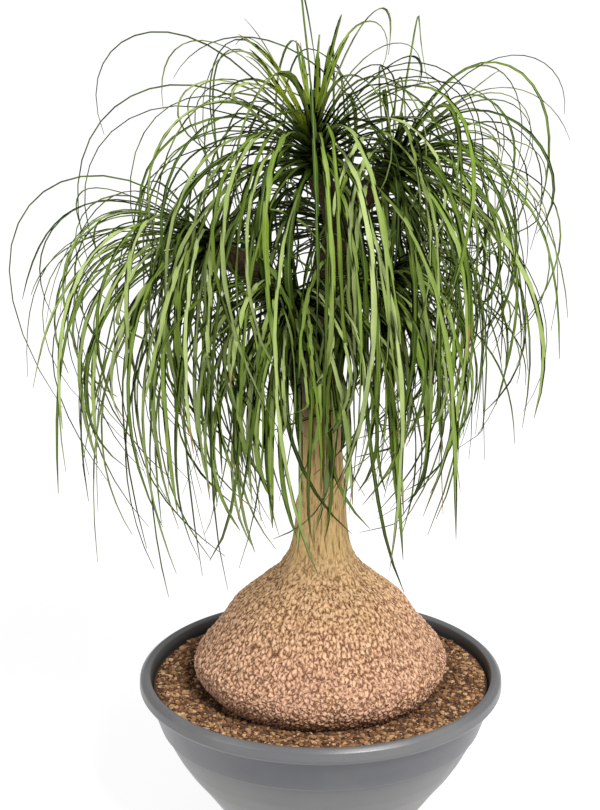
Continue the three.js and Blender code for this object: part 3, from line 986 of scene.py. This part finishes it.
def bend_blade(shape, leaf, settings):
    """The template's vertices, bent along a leaf into a channelled blade with a fine tip, and
    the place of each one on its leaf: along it, across it, and a third number for each leaf."""
    share = leaf.rings()
    m = share * leaf.end
    points = leaf.places(m)
    along = leaf.direction(m)
    points[0] -= along[0] * LEAF_SUNK
    across = leaf.across(m)
    under = np.cross(across, along)
    swell = np.interp(m, [0, 0.03, 0.35], [1.2, 0.75, 1.0])
    taper = (1 - 0.20 * share ** 1.6) * (1 - share ** 12)
    width = np.maximum(0.6 * MM, leaf.width * leaf.breadth * settings.breadth * swell * taper)
    channel = settings.channel * width * (1 + 0.8 * np.exp(-m / 0.08))
    thickness = settings.thickness * mixed(1.5, 0.4, share)
    x, y, ring = shape[:, 0], shape[:, 1], np.rint(shape[:, 2]).astype(int)
    down = (1 - np.abs(x)) * (channel[ring] + thickness[ring] * (y + 1) / 2)
    places = points[ring] + across[ring] * (x * width[ring] / 2)[:, None] + under[ring] * down[:, None]
    return places, np.stack([share[ring], x, np.full(len(x), 9 * leaf.tone)], 1)


def crown_template():
    """The growing tip of a branch, one unit tall."""
    bm = bmesh.new()
    bmesh.ops.create_cone(bm, cap_ends=True, segments=16, radius1=1, radius2=0.35, depth=1,
                          matrix=Matrix.Translation((0, 0, 0.5)))
    return new_mesh("crown", bm)


def head_mesh(head, leaves, settings):
    """A head: its crown and its leaves, with the tone and the age of each leaf."""
    blade = blade_template()
    crown = crown_template()
    shape = places_of(blade)
    mesh = joined(head.name, [crown] + [blade] * len(leaves))
    turn = Vector(head.axis).to_track_quat("Z", "Y")
    size = Vector((CROWN_RADIUS, CROWN_RADIUS, CROWN_HEIGHT))
    place = Matrix.LocRotScale(Vector(head.foot) * MM, turn, size)
    tip = np.array([place @ Vector(point) for point in places_of(crown)])
    bent = [bend_blade(shape, leaf, settings) for leaf in leaves]
    set_places(mesh, np.vstack([tip, *(places for places, _ in bent)]))
    add_attribute(mesh, "on_leaf", np.vstack([tip * 0, *(marks for _, marks in bent)]), "FLOAT_VECTOR")
    for name in ("tone", "young", "dry"):
        values = np.repeat([getattr(leaf, name) for leaf in leaves], len(shape))
        add_attribute(mesh, name, np.concatenate([np.zeros(len(tip)), values]))
    return mesh


def leaf_finish(settings):
    finish = Finish("green leaf", Roughness=0.5, Specular_IOR_Level=0.15)
    on_leaf = finish.attribute("on_leaf", "Vector")
    along = finish.part(on_leaf, "X")
    side = finish.part(on_leaf, "Y")
    young = finish.attribute("young")
    streaks = finish.noise(finish.stretched(on_leaf, (3.0, 7.0, 1.0)), 1.0, 3.0, 0.6)
    blotch = finish.noise(finish.place(), 26.0, 3.0, 0.55)
    tone = finish.attribute("tone")
    shade = tone + 0.5 * (blotch - 0.5) + 0.4 * (streaks - 0.5)
    ramp = finish.node("ShaderNodeValToRGB", {"Fac": shade}, stops=[
        (0.0, settings.dark), (0.45, settings.green), (1.0, settings.sage_highlight)])
    # A pale band down the middle of each blade: a midrib, and a painted highlight along the channel.
    rib = 1 - finish.smooth(finish.math("ABSOLUTE", side), 0.04, 0.22)
    color = finish.mix(0.30 * rib, ramp["Color"], settings.sage_highlight)
    # Darker at the bases of the older leaves: painted shade inside the crown. The ends of darker leaves
    # are darker too.
    base = 1 - finish.smooth(along, 0.03, 0.34)
    ends = finish.smooth(along, 0.35, 0.90) * (1 - tone)
    color = finish.mix(0.62 * base * (1 - young) + 0.35 * ends, color, settings.dark)
    color = finish.mix(young * (1 - finish.smooth(along, 0.30, 0.90)), color, settings.young)
    tip = finish.smooth(along + 0.25 * finish.attribute("dry"), 0.985, 1.03)
    color = finish.mix(tip, color, settings.dry)
    finish.feed("Base Color", color)
    finish.feed("Roughness", 0.46 + 0.18 * streaks + 0.2 * tip)
    finish.bump(streaks + 0.5 * rib, 0.15 * MM)
    return finish


class PALM_OT_leaves(bpy.types.Operator):
    """Grow the leaves of all six heads"""

    bl_idname = "palm.leaves"
    bl_label = "Leaves"

    def execute(self, context):
        settings = context.scene.palm_leaves
        finish = leaf_finish(settings)
        bm = bmesh.new()
        for name in ("pot", "soil", "stem"):
            bm.from_mesh(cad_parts[name].data)
        solids = BVHTree.FromBMesh(bm)
        bm.free()
        for index, head in enumerate(HEADS):
            head.number = index + 1
            leaves = head_leaves(head, solids)
            mesh = head_mesh(head, leaves, settings)
            new_piece("leaves_" + head.name, mesh, finish, head.name)
        return {"FINISHED"}


# The stage

class StageSettings(bpy.types.PropertyGroup):
    """The floor, the light and the camera."""

    floor: color_setting("Floor", "Colour of the floor", (0.25, 0.25, 0.25))
    glow: FloatProperty(
        name="Floor glow", description="Light that the floor gives off", default=0.85, min=0)
    sky: FloatProperty(name="Sky", description="Strength of the even light", default=0.38, min=0)
    key: FloatProperty(
        name="Key light", description="Power of the large light at the upper right", default=200,
        subtype="POWER", unit="POWER")
    fill: FloatProperty(
        name="Fill light", description="Power of the light at the left", default=25, subtype="POWER",
        unit="POWER")
    camera: FloatVectorProperty(
        name="Camera", description="Place of the camera", subtype="XYZ", unit="LENGTH",
        default=(-0.0205, -2.7189, 1.4179))
    pitch: FloatProperty(
        name="Pitch", description="How far the camera looks down", default=math.radians(19.9),
        subtype="ANGLE", unit="ROTATION")
    lens: FloatProperty(name="Lens", description="Focal length in millimetres", default=133.33, min=10)


def area_light(name, place, size, power):
    """A round soft light that faces the plant's middle."""
    light = bpy.data.lights.new(name, "AREA")
    light.shape = "DISK"
    light.size = size
    light.energy = power
    lamp = new_object(name, light)
    lamp.location = place
    lamp.rotation_euler = (PLANT_MIDDLE - Vector(place)).to_track_quat("-Z", "Y").to_euler()


class PALM_OT_stage(bpy.types.Operator):
    """Lay the floor, hang the lights and set the camera"""

    bl_idname = "palm.stage"
    bl_label = "Stage"

    def execute(self, context):
        settings = context.scene.palm_stage
        bm = bmesh.new()
        bmesh.ops.create_circle(bm, cap_ends=True, segments=96, radius=40)
        finish = Finish("floor", Roughness=0.7, Base_Color=(*settings.floor, 1),
                        Emission_Color=(1, 1, 1, 1), Emission_Strength=settings.glow)
        mesh = new_mesh("floor", bm)
        mesh.materials.append(finish.material)
        floor = new_object("floor", mesh)
        world = bpy.data.worlds.new("pale sky")
        world.use_nodes = True
        sky = world.node_tree.nodes["Background"].inputs
        sky["Color"].default_value = (1, 1, 1, 1)
        sky["Strength"].default_value = settings.sky
        context.scene.world = world
        area_light("key", (1.5, -2.1, 3.2), 1.4, settings.key)
        area_light("fill", (-2.4, -1.4, 1.8), 1.8, settings.fill)
        lens = bpy.data.cameras.new("camera")
        lens.lens = settings.lens
        camera = new_object("camera", lens)
        camera.location = settings.camera
        camera.rotation_euler = (math.pi / 2 - settings.pitch, 0, 0)
        context.scene.camera = camera
        context.scene.view_settings.view_transform = "Standard"
        return {"FINISHED"}


# The panel and the add-on's registration

OPERATORS = [PALM_OT_stage, PALM_OT_pot, PALM_OT_soil, PALM_OT_stem, PALM_OT_leaves]
SETTINGS = {
    "palm_pot": PotSettings,
    "palm_soil": SoilSettings,
    "palm_bark": BarkSettings,
    "palm_leaves": LeafSettings,
    "palm_stage": StageSettings,
}


class PALM_PT_panel(bpy.types.Panel):
    """Lists the palm's pieces with their settings"""

    bl_label = "Ponytail Palm"
    bl_idname = "PALM_PT_panel"
    bl_space_type = "VIEW_3D"
    bl_region_type = "UI"
    bl_category = "Palm"

    def draw(self, context):
        for operator in OPERATORS:
            self.layout.operator(operator.bl_idname)
        for name, group in SETTINGS.items():
            box = self.layout.box()
            for field in group.__annotations__:
                box.prop(getattr(context.scene, name), field)


def register():
    for name, group in SETTINGS.items():
        bpy.utils.register_class(group)
        setattr(bpy.types.Scene, name, PointerProperty(type=group))
    for operator in OPERATORS:
        bpy.utils.register_class(operator)
    bpy.utils.register_class(PALM_PT_panel)


def unregister():
    bpy.utils.unregister_class(PALM_PT_panel)
    for operator in reversed(OPERATORS):
        bpy.utils.unregister_class(operator)
    for name, group in reversed(SETTINGS.items()):
        delattr(bpy.types.Scene, name)
        bpy.utils.unregister_class(group)


def main():
    register()
    bpy.ops.palm.stage()
    bpy.ops.palm.pot()
    bpy.ops.palm.soil()
    bpy.ops.palm.stem()
    bpy.ops.palm.leaves()


if __name__ == "__main__":
    main()
